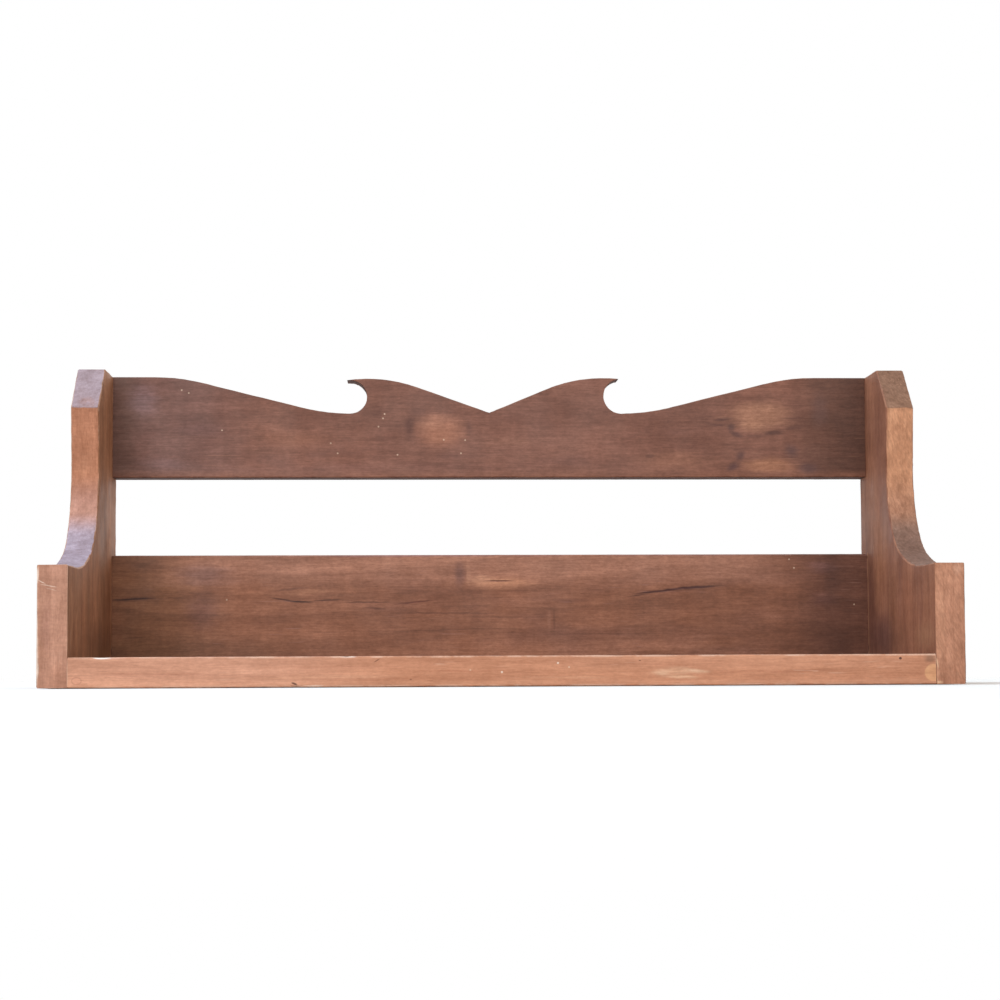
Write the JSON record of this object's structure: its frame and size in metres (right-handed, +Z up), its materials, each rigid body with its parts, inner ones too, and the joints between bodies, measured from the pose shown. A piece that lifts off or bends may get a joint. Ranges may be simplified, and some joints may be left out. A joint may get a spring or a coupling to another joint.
{
  "type": "wall plate rack",
  "caption": "Wooden wall rack for plates: a grooved shelf between cove-cut sides, a low back rail, a scroll-topped upper rail, and keyhole hangers let into the back.",
  "frame": {"origin": "middle of the footprint, on the plane of the underside", "axes": "+Z up, +Y towards the wall, +X along the rack to the right as seen from the front"},
  "size_m": [0.61, 0.229, 0.232],
  "materials": {
    "side_board": "brown stained softwood, thin satin varnish, grain upright",
    "rail_board": "red-brown stained softwood, thin satin varnish, grain along the board",
    "shelf_board": "brown stained softwood, thin satin varnish, worn paler at the front edge",
    "plug_wood": "stained wood plugs, sanded flush",
    "hanger_plate": "zinc-plated sheet steel",
    "screw_steel": "zinc-plated wood screws"
  },
  "bodies": {
    "root": {"bottom_rail": "rail_board", "bottom_rail_plugs_left": "plug_wood", "bottom_rail_plugs_right": "plug_wood", "bottom_rail_screws_left": "screw_steel", "bottom_rail_screws_right": "screw_steel", "keyhole_plate_left": "hanger_plate", "keyhole_plate_right": "hanger_plate", "keyhole_screws_left": "screw_steel", "keyhole_screws_right": "screw_steel", "left_side": "side_board", "right_side": "side_board", "shelf": "shelf_board", "shelf_back_screws": "screw_steel", "shelf_plugs_left": "plug_wood", "shelf_plugs_right": "plug_wood", "shelf_screws_left": "screw_steel", "shelf_screws_right": "screw_steel", "top_rail": "rail_board", "top_rail_plugs_left": "plug_wood", "top_rail_plugs_right": "plug_wood", "top_rail_screws_left": "screw_steel", "top_rail_screws_right": "screw_steel"}
  },
  "joints": []
}
